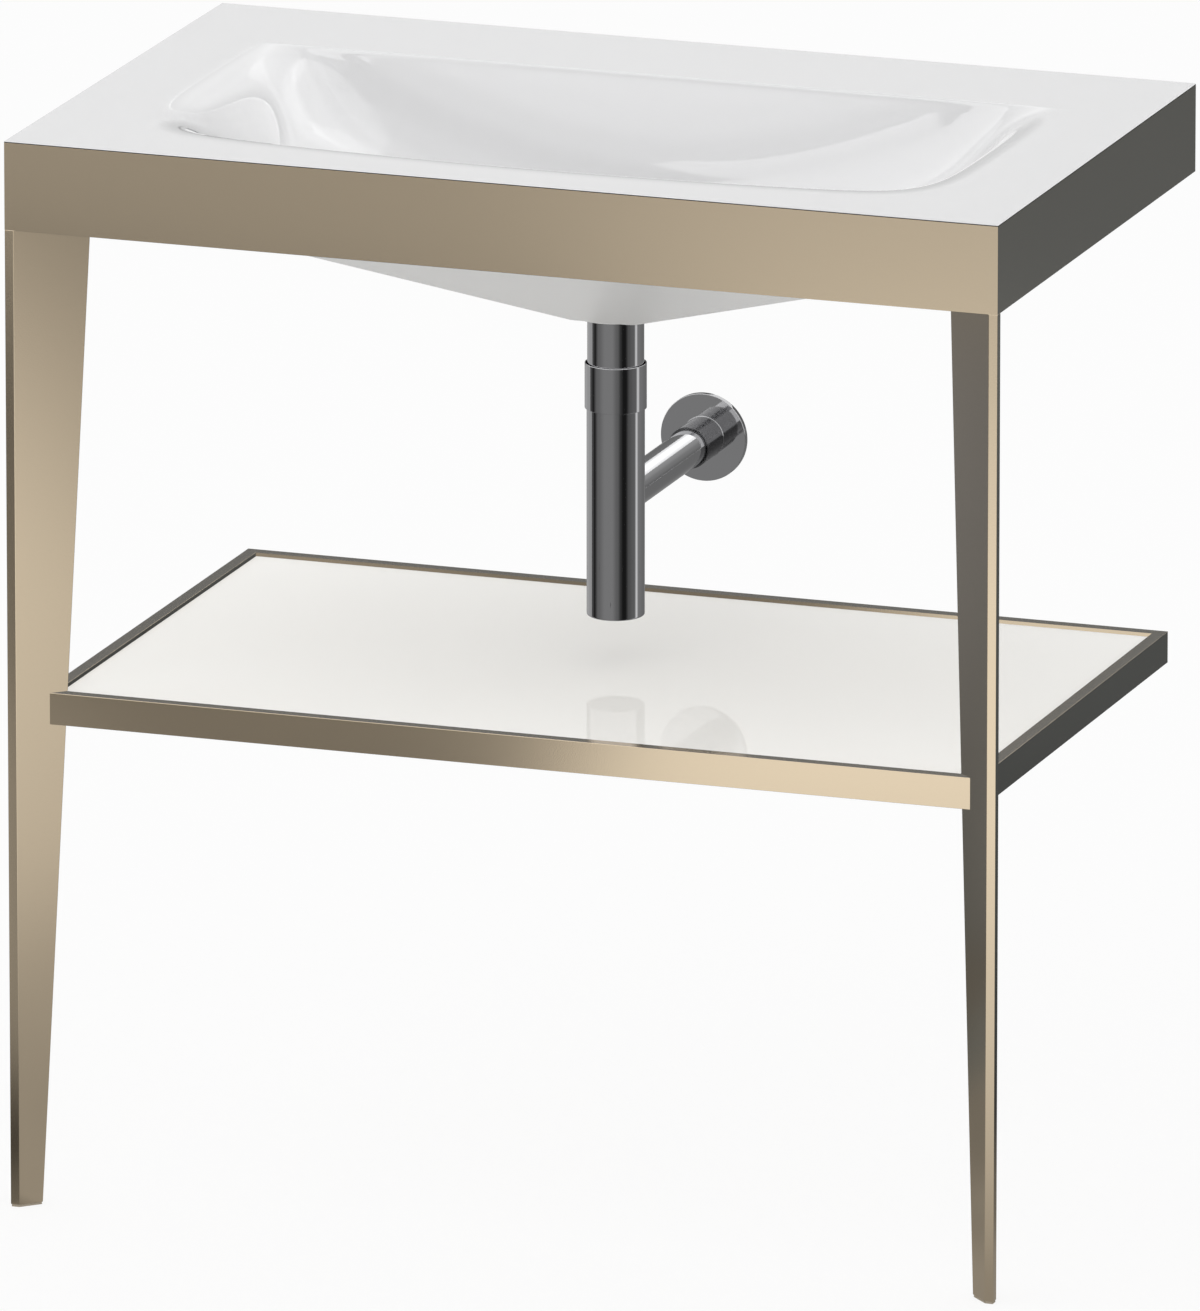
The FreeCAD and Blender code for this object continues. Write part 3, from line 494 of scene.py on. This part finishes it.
BOTTLE_FOOT = 441.0
bm = turned_on_drain((21, 632), (22, 632), (22, 678.7), (21, 678.7))
round_edges(bm, 0.3)
finish_piece(as_object("trap_sleeve", bm), chrome, "chrome", "upper_sleeve")
bm = turned_on_drain((24, 606), (24, 642), (23, 642), (23, 628), (16.05, 628), (16.05, 624), (22.55, 624),
                     (22.55, 606))
round_edges(bm, 0.4)
finish_piece(as_object("trap_collar", bm), chrome, "chrome", "collar", body="collar")
bm = turned_on_drain((0, BOTTLE_FOOT), (22.5, BOTTLE_FOOT), (22.5, 620.9), (21, 620.9), (21, 444), (0, 444))
round_edges(bm, 1.5, 4, lambda edge: edge.verts[0].co.z < BOTTLE_FOOT + 1)
finish_piece(as_object("trap_bottle", bm), chrome, "chrome", "trap_body")
dress(rubber, "collar_seal", "dip_tube_seal")
dress(moulded, "dip_tube")


# Pipe to the wall and its rosette
# A chromed brass pipe soldered into the bottle runs back into the wall. A pressed rosette with a long
# neck slides along it over a rubber ring, to lie against the tiles. The neck has a darker copy of the
# chrome, which is a painted dark reflection.

PIPE_Z = 532.0
DISC_FACE = 215.0
# The neck's chrome colour, darkened as a painted dark reflection.
NECK_CHROME_PAINTED_DARK = (0.15, 0.15, 0.155)


def turned_on_pipe(*profile):
    return turned(profile, (0, 0, PIPE_Z), (0, 1, 0))


bm = turned_on_pipe((13.8, 25.5), (15, 25.5), (15, 219), (14.8, 219), (14.8, 220), (15, 220), (15, 260),
                    (13.8, 260))
pipe = finish_piece(as_object("drain_pipe", bm), chrome, "chrome", "wall_pipe")
bm = turned_on_pipe((15.05, 180), (16.75, 180), (16.75, DISC_FACE), (35, DISC_FACE), (35, 220), (33.8, 220),
                    (33.8, 216.2), (15.05, 216.2), (15.05, 200.5), (15.95, 200.5), (15.95, 197.5), (15.05, 197.5))
round_edges(bm, 0.5)
rosette = finish_piece(as_object("wall_rosette", bm), chrome, "chrome", "rosette", body="rosette")
# The faces behind the disc's face, the neck, take a darker copy of the chrome: a painted dark reflection.
rosette.data.materials.append(surface("chrome_painted_dark_reflection", NECK_CHROME_PAINTED_DARK, 0.16, metallic=1.0, tone=0.02, scale=14.0,
                                      drift=0.02, relief=0.001, relief_scale=40.0))
for face in rosette.data.polygons:
    face.material_index = 1 if face.center.y < 0.001 * (DISC_FACE - 0.5) else 0
dress(rubber, "rosette_ring")


# Floor and background
# A wide pale floor that runs off to white, under an even white light from all round. It keeps the
# object's shadow, and metal and glass show floor and background as the camera does.

FLOOR_RADIUS = 16000.0
FLOOR_PALE = (0.9, 0.9, 0.9, 1.0)
FLOOR_GLOW_SHARE = 0.85
EVEN_LIGHT = 0.92


def ray_mask(tree):
    # One for rays that see the background: from the camera, and by reflection or through glass.
    path = tree.nodes.new("ShaderNodeLightPath")
    total = path.outputs["Is Camera Ray"]
    for output in ("Is Glossy Ray", "Is Transmission Ray"):
        both = tree.nodes.new("ShaderNodeMath")
        both.operation = "MAXIMUM"
        tree.links.new(total, both.inputs[0])
        tree.links.new(path.outputs[output], both.inputs[1])
        total = both.outputs[0]
    return total


world = bpy.data.worlds.new("studio")
world.use_nodes = True
bpy.context.scene.world = world
tree = world.node_tree
tree.nodes.clear()
even = tree.nodes.new("ShaderNodeBackground")
even.inputs["Strength"].default_value = EVEN_LIGHT
white = tree.nodes.new("ShaderNodeBackground")
for background in (even, white):
    background.inputs["Color"].default_value = (1.0, 1.0, 1.0, 1.0)
mix = tree.nodes.new("ShaderNodeMixShader")
tree.links.new(ray_mask(tree), mix.inputs["Fac"])
tree.links.new(even.outputs[0], mix.inputs[1])
tree.links.new(white.outputs[0], mix.inputs[2])
tree.links.new(mix.outputs[0], tree.nodes.new("ShaderNodeOutputWorld").inputs["Surface"])

pale = bpy.data.materials.new("pale_floor")
pale.use_nodes = True
tree = pale.node_tree
shader = tree.nodes["Principled BSDF"]
shader.inputs["Base Color"].default_value = FLOOR_PALE
shader.inputs["Roughness"].default_value = 0.9
shader.inputs["Specular IOR Level"].default_value = 0.0
glow = tree.nodes.new("ShaderNodeEmission")
mix = tree.nodes.new("ShaderNodeMixShader")
share = tree.nodes.new("ShaderNodeMath")
share.operation = "MULTIPLY"
share.inputs[1].default_value = FLOOR_GLOW_SHARE
tree.links.new(ray_mask(tree), share.inputs[0])
tree.links.new(share.outputs[0], mix.inputs["Fac"])
tree.links.new(shader.outputs[0], mix.inputs[1])
tree.links.new(glow.outputs[0], mix.inputs[2])
tree.links.new(mix.outputs[0], tree.nodes["Material Output"].inputs["Surface"])
bm = bmesh.new()
bmesh.ops.create_circle(bm, cap_ends=True, segments=96, radius=FLOOR_RADIUS)
floor = as_object("floor", bm)
floor.data.materials.append(pale)


# Painted sheets around the object
# Dark and bright sheets on the floor, behind the object and overhead, as a studio sets them up for
# glossy ware. Only reflections show them, and most of them are there for one finish alone.

SHEET_RADIUS = 9000.0
BACKDROP_HEIGHT = 3985.0
BACKDROP_START = math.radians(20)
BACKDROP_SWEEP = math.radians(150)
FLOOR_REACH = 5.0           # metres, as all places on a painted sheet are
RISE_REACH = 4.2
PIPE_RISE_REACH = 4.8
CEILING_REACH = 14.0
CEILING_GLOW = 10.0


def mirror_only(sheet):
    # A sheet that only reflections show.
    sheet.visible_camera = sheet.visible_diffuse = sheet.visible_transmission = False
    sheet.visible_shadow = sheet.visible_volume_scatter = False
    return sheet


def disc(name, height, radius=SHEET_RADIUS):
    bm = bmesh.new()
    bmesh.ops.create_circle(bm, cap_ends=True, segments=64, radius=radius)
    bmesh.ops.translate(bm, verts=bm.verts, vec=(0, 0, height))
    return as_object(name, bm)


def backdrop(name, radius, height=BACKDROP_HEIGHT):
    # A curved sheet that stands behind the object, from the right round to the left.
    bm = bmesh.new()
    foot = Vector((radius * math.cos(BACKDROP_START), radius * math.sin(BACKDROP_START), 0.0))
    verts = [bm.verts.new(foot), bm.verts.new(foot + Vector((0, 0, height)))]
    bmesh.ops.spin(bm, geom=verts + [bm.edges.new(verts)], cent=(0, 0, 0), axis=UP, angle=BACKDROP_SWEEP, steps=60)
    return as_object(name, bm)


def card(name, height, corners):
    bm = bmesh.new()
    bm.faces.new([bm.verts.new((1000 * x, 1000 * y, height)) for x, y in corners])
    return as_object(name, bm)


def ramp(tree, value, stops):
    # Levels of grey, or colours, along a value from 0 to 1.
    node = tree.nodes.new("ShaderNodeValToRGB")
    node.color_ramp.interpolation = "EASE"
    while len(node.color_ramp.elements) < len(stops):
        node.color_ramp.elements.new(0.5)
    for element, (place, level) in zip(node.color_ramp.elements, stops):
        element.position = place
        element.color = (*level, 1.0) if isinstance(level, tuple) else (level, level, level, 1.0)
    tree.links.new(value, node.inputs["Fac"])
    return node.outputs["Color"]


def scaled_ramp(tree, value, reach, stops):
    # Levels along a value in metres, up to its reach.
    share = tree.nodes.new("ShaderNodeMath")
    share.operation = "DIVIDE"
    share.inputs[1].default_value = reach
    tree.links.new(value, share.inputs[0])
    return ramp(tree, share.outputs[0], [(place / reach, level) for place, level in stops])


def bearings(tree, stops):
    # Levels by compass bearing seen from the middle of the sheet, in degrees from +X.
    place = tree.nodes.new("ShaderNodeTexCoord")
    sweep = tree.nodes.new("ShaderNodeTexGradient")
    sweep.gradient_type = "RADIAL"
    tree.links.new(place.outputs["Object"], sweep.inputs["Vector"])
    return ramp(tree, sweep.outputs["Fac"], [(angle / 360.0 + 0.5, level) for angle, level in stops])


def distances(tree, reach, stops):
    # Levels by distance from the middle of the sheet.
    place = tree.nodes.new("ShaderNodeTexCoord")
    length = tree.nodes.new("ShaderNodeVectorMath")
    length.operation = "LENGTH"
    tree.links.new(place.outputs["Object"], length.inputs[0])
    return scaled_ramp(tree, length.outputs["Value"], reach, stops)


def along_axis(tree, axis, reach, stops):
    # Levels along one axis, from the middle out to a reach on either side.
    place = tree.nodes.new("ShaderNodeTexCoord")
    parts = tree.nodes.new("ShaderNodeSeparateXYZ")
    tree.links.new(place.outputs["Object"], parts.inputs[0])
    return scaled_ramp(tree, parts.outputs[axis], reach, stops)


def blended(tree, kind, factor, first, second):
    # The second may be a plain colour.
    node = tree.nodes.new("ShaderNodeMix")
    node.data_type = "RGBA"
    node.blend_type = kind
    if isinstance(factor, float):
        node.inputs["Factor"].default_value = factor
    else:
        tree.links.new(factor, node.inputs["Factor"])
    tree.links.new(first, node.inputs["A"])
    if isinstance(second, tuple):
        node.inputs["B"].default_value = (*second, 1.0)
    else:
        tree.links.new(second, node.inputs["B"])
    return node.outputs["Result"]


def product(tree, first, second):
    return blended(tree, "MULTIPLY", 1.0, first, second)


def total(tree, first, second):
    return blended(tree, "ADD", 1.0, first, second)


def glowing_sheet(sheet, paint, *receivers, strength=1.0):
    # Adds its light to what lies behind it, for some finishes or pieces alone. The paint is a plain
    # colour, or a function that mixes it on the sheet.
    skin = bpy.data.materials.new(sheet.name)
    skin.use_nodes = True
    skin.cycles.emission_sampling = "NONE"
    tree = skin.node_tree
    tree.nodes.remove(tree.nodes["Principled BSDF"])
    clear = tree.nodes.new("ShaderNodeBsdfTransparent")
    glow = tree.nodes.new("ShaderNodeEmission")
    both = tree.nodes.new("ShaderNodeAddShader")
    glow.inputs["Strength"].default_value = strength
    if isinstance(paint, tuple):
        glow.inputs["Color"].default_value = (*paint, 1.0)
    else:
        tree.links.new(paint(tree), glow.inputs["Color"])
    tree.links.new(clear.outputs[0], both.inputs[0])
    tree.links.new(glow.outputs[0], both.inputs[1])
    tree.links.new(both.outputs[0], tree.nodes["Material Output"].inputs["Surface"])
    sheet.data.materials.append(skin)
    lit = bpy.data.collections.new(sheet.name)
    for piece in bpy.context.scene.objects:
        if piece.type == "MESH" and any(one == piece or one.name in piece.data.materials for one in receivers):
            lit.objects.link(piece)
    sheet.light_linking.receiver_collection = lit
    return mirror_only(sheet)


for piece in bpy.context.scene.objects:
    # The lacquered frame shows the room, and no polished piece shows the frame.
    if piece.type == "MESH" and champagne.name in piece.data.materials:
        piece.visible_glossy = False
dark = bpy.data.materials.new("dark_sheet")
dark.use_nodes = True
dark.node_tree.nodes["Principled BSDF"].inputs["Base Color"].default_value = (0.0, 0.0, 0.0, 1.0)
dark.node_tree.nodes["Principled BSDF"].inputs["Specular IOR Level"].default_value = 0.0
for sheet in (disc("dark_ground", 0.2), backdrop("dark_backdrop", 9500.0)):
    sheet.data.materials.append(dark)
    mirror_only(sheet)


def pale_backdrop_paint(tree):
    rise = along_axis(tree, "Z", RISE_REACH, [(1.6, 0.55), (2.3, 0.7), (2.8, 1.0), (3.4, 1.0), (4.2, 1.2)])
    return blended(tree, "MIX", bearings(tree, [(110, 0.0), (115, 0.8)]), rise, (1.0, 1.0, 1.0))


def sweep_backdrop_paint(tree):
    rise = along_axis(tree, "Z", RISE_REACH, [(2.4, 0.0), (3.2, 0.85), (3.8, 1.0)])
    side = bearings(tree, [(58, 1.0), (62, 0.85), (66, 0.62), (70, 0.43), (74, 0.24), (78, 0.1), (84, 0.0)])
    return product(tree, rise, side)


def pipe_backdrop_paint(tree):
    rise = along_axis(tree, "Z", PIPE_RISE_REACH, [(0.0, 0.03), (1.7, 0.12), (3.3, 0.25), (3.9, 0.3), (4.3, 0.5),
                                                   (4.6, 0.9)])
    return product(tree, rise, bearings(tree, [(94, 1.0), (106, 0.25)]))


glowing_sheet(backdrop("pale_backdrop", 9400.0), pale_backdrop_paint, glaze, white_glass)
glowing_sheet(backdrop("sweep_backdrop", 9350.0), sweep_backdrop_paint, glaze, strength=2.7)
glowing_sheet(backdrop("champagne_backdrop", 9300.0), (0.15, 0.17, 0.2), champagne)
glowing_sheet(backdrop("chrome_backdrop", 9280.0), (0.16, 0.16, 0.16), chrome)
glowing_sheet(backdrop("pipe_backdrop", 9260.0, 4800.0), pipe_backdrop_paint, pipe)
glowing_sheet(disc("pale_ground", 0.8), (0.9, 0.9, 0.9), glaze, white_glass)


def champagne_paint(tree):
    # Near for the shelf bars and the legs, far for the apron, and close for the legs' feet.
    near = bearings(tree, [(-180, 0.36), (-136, 0.25), (-126, 0.42), (-120, 0.32), (-117, 0.22), (-107.2, 0.23),
                           (-102.6, 1.05), (-60, 1.02), (-47, 0.97), (-34, 0.82), (-26, 0.4), (-15, 0.2),
                           (20, (0.085, 0.1, 0.12)), (120, (0.085, 0.1, 0.12)), (160, (0.24, 0.26, 0.31)),
                           (163, (0.24, 0.26, 0.31)), (165.5, (0.12, 0.13, 0.15)), (168, (0.15, 0.165, 0.19)),
                           (172, (0.28, 0.31, 0.35))])
    far = bearings(tree, [(-180, 0.4), (-125, 0.72), (-108.1, 0.71), (-105.4, 1.03), (-60, 0.9), (-34, 0.5),
                          (-26, 0.4), (20, (0.2, 0.23, 0.27)), (120, (0.2, 0.23, 0.27)), (180, 0.3)])
    zone = blended(tree, "MIX", bearings(tree, [(-20, 0.0), (0, 1.0)]),
                   along_axis(tree, "Y", -FLOOR_REACH, [(-2.9, 0.0), (-2.98, 1.0)]),
                   distances(tree, FLOOR_REACH, [(2.3, 0.0), (3.0, 1.0)]))
    level = distances(tree, FLOOR_REACH, [(0.3, 0.32), (0.58, 0.46), (0.72, 0.58), (0.85, 0.67), (1.0, 0.75),
                                          (1.3, 0.86), (1.7, 1.0), (2.3, 1.0), (2.75, 0.8), (3.2, 0.6),
                                          (4.5, 0.55)])
    open_floor = product(tree, blended(tree, "MIX", zone, near, far), level)
    close = bearings(tree, [(-180, (0.16, 0.185, 0.21)), (-147, 0.37), (-96, 0.38), (-60, 0.42), (-40, 0.33),
                            (-20, 0.3), (0, 0.18), (60, 0.1), (150, 0.12)])
    fade = distances(tree, FLOOR_REACH, [(0.14, 0.55), (0.24, 0.75), (0.4, 1.0)])
    away = distances(tree, FLOOR_REACH, [(0.46, 0.0), (0.64, 1.0)])
    whole = blended(tree, "MIX", away, product(tree, close, fade), open_floor)
    leg_edge = bearings(tree, [(-154, 0.0), (-149, 1.0), (-115.2, 1.0), (-113.8, 0.0)])
    dim = distances(tree, FLOOR_REACH, [(0.462, 1.0), (0.474, 0.45), (0.62, 0.55), (0.9, 1.0), (1.88, 1.0),
                                        (2.05, 0.75), (2.8, 0.75), (2.95, 0.3), (3.24, 0.3), (3.3, 1.0)])
    return blended(tree, "MULTIPLY", leg_edge, whole, dim)


def chrome_paint(tree):
    return bearings(tree, [(-174, 0.1), (-163, 0.02), (-143, 0.2), (-112, 0.3), (-87, 0.3), (-64, 0.18),
                           (-50, 0.05), (-42, 0.015), (-32, 0.015), (-15, 0.13), (0, 0.17), (10, 0.18),
                           (20, 0.95), (31, 0.28), (78, 0.2), (109, 0.3), (145, 0.52), (165, 0.48)])


glowing_sheet(disc("champagne_sheet", 0.4), champagne_paint, champagne)
glowing_sheet(disc("chrome_sheet", 0.6), chrome_paint, chrome)


def ceiling_paint(tree):
    behind = distances(tree, CEILING_REACH, [(0.0, 0.44), (1.5, 0.37), (2.6, 0.26), (3.7, 0.17), (5.5, 0.11),
                                             (6.8, 0.1), (8.2, 0.05), (10.3, 0.0)])
    ahead = distances(tree, CEILING_REACH, [(0.0, 0.44), (1.5, 0.47), (2.3, 0.42), (3.15, 0.36), (3.6, 0.24),
                                            (4.1, 0.07), (4.6, 0.0), (6.4, 0.01), (7.0, 0.06), (7.6, 0.12),
                                            (9.0, 0.14), (11.0, 0.0)])
    far = product(tree, distances(tree, CEILING_REACH, [(8.6, 0.0), (11.0, 0.25), (14.0, 0.3)]),
                  bearings(tree, [(-122, 0.0), (-117, 1.0), (-104, 1.0), (-99, 0.0)]))
    side = bearings(tree, [(-180, 0.5), (-150, 1.0), (-60, 1.0), (0, 0.0), (140, 0.0), (180, 0.5)])
    sweep = bearings(tree, [(-106, 0.0), (-102, 0.16), (0, 0.13), (44, 0.13), (54, 0.235), (60, 0.17), (66, 0.07),
                            (72, 0.05), (78, 0.05), (84, 0.03), (96, 0.0)])
    sweep = product(tree, sweep, distances(tree, CEILING_REACH, [(8.6, 1.0), (10.6, 0.0)]))
    return total(tree, total(tree, blended(tree, "MIX", side, behind, ahead), sweep), far)


glowing_sheet(disc("soft_ceiling", 4000.0, 40000.0), ceiling_paint, glaze, strength=CEILING_GLOW)
for name, height, level, corners in (
        ("left_card", 3990.0, 0.1, [(-0.35, -0.45), (0.1, -0.5), (0.8, 0.2), (1.1, 0.7), (1.4, 1.25), (1.7, 1.8),
                                    (2.0, 2.5), (1.75, 2.5), (1.15, 1.6), (0.55, 0.75), (0.1, 0.05)]),
        ("back_card", 3988.0, 0.045, [(-0.8, 5.0), (0.5, 5.2), (1.9, 5.9), (3.2, 6.4), (3.6, 7.0), (2.4, 7.1),
                                      (1.2, 6.9), (-0.4, 6.0)]),
        ("right_card", 3980.0, 0.26, [(-0.8, -1.2), (-1.0, -2.4), (-1.27, -3.2), (-3.0, -3.2), (-3.6, -0.5),
                                      (-3.2, 0.0), (-1.3, -0.6)]),
        ("gap_card", 3982.0, 0.23, [(-1.27, -3.2), (-1.58, -4.05), (-2.8, -4.05), (-3.0, -3.2)]),
        ("band_card", 3984.0, 0.23, [(-2.17, -4.05), (-2.2, -5.5), (-2.45, -5.9), (-2.8, -4.05)]),
        ("end_card", 3970.0, 0.11, [(-3.2, 0.0), (-3.6, -0.5), (-4.6, 1.0), (-4.4, 1.8), (-2.6, 0.5),
                                    (-2.4, -0.2)])):
    glowing_sheet(card(name, height, corners), (level, level, level), glaze, strength=CEILING_GLOW)


# Lamps and camera
# One large soft lamp from above and in front, a fill that lights the shelf's glass alone, and a long
# lens far off at the photograph's angle.

CAMERA_PLACE = (6.06480, -17.22014, 5.30094)
CAMERA_AIM = (-0.00228, -0.02, 0.41523)
LENS = 672.07


def turn_to(place, aim):
    return (Vector(aim) - Vector(place)).to_track_quat("-Z", "Y").to_euler()


def lamp(name, place, aim, size, power):
    light = bpy.data.lights.new(name, "AREA")
    light.shape = "RECTANGLE"
    light.size, light.size_y = size
    light.energy = power
    holder = bpy.data.objects.new(name, light)
    holder.location = place
    holder.rotation_euler = turn_to(place, aim)
    bpy.context.scene.collection.objects.link(holder)
    return holder


lamp("soft_overhead", (-1.2, -1.0, 3.2), (0.0, 0.0, 0.5), (2.4, 2.0), 7.0)
shelf_fill = lamp("shelf_fill", (-0.5, -2.2, 2.4), (0.0, 0.0, 0.4), (2.0, 2.0), 14.0)
shelf_fill.data.use_shadow = False
shelf_fill.visible_glossy = False
shelf_fill.light_linking.receiver_collection = bpy.data.collections.new("shelf_fill")
shelf_fill.light_linking.receiver_collection.objects.link(glass)

view = bpy.data.cameras.new("photograph")
view.lens = LENS
view.sensor_width = 36.0
view.clip_end = 80.0
camera = bpy.data.objects.new("photograph", view)
camera.location = CAMERA_PLACE
camera.rotation_euler = turn_to(CAMERA_PLACE, CAMERA_AIM)
bpy.context.scene.collection.objects.link(camera)
bpy.context.scene.camera = camera
bpy.context.scene.view_settings.view_transform = "Standard"
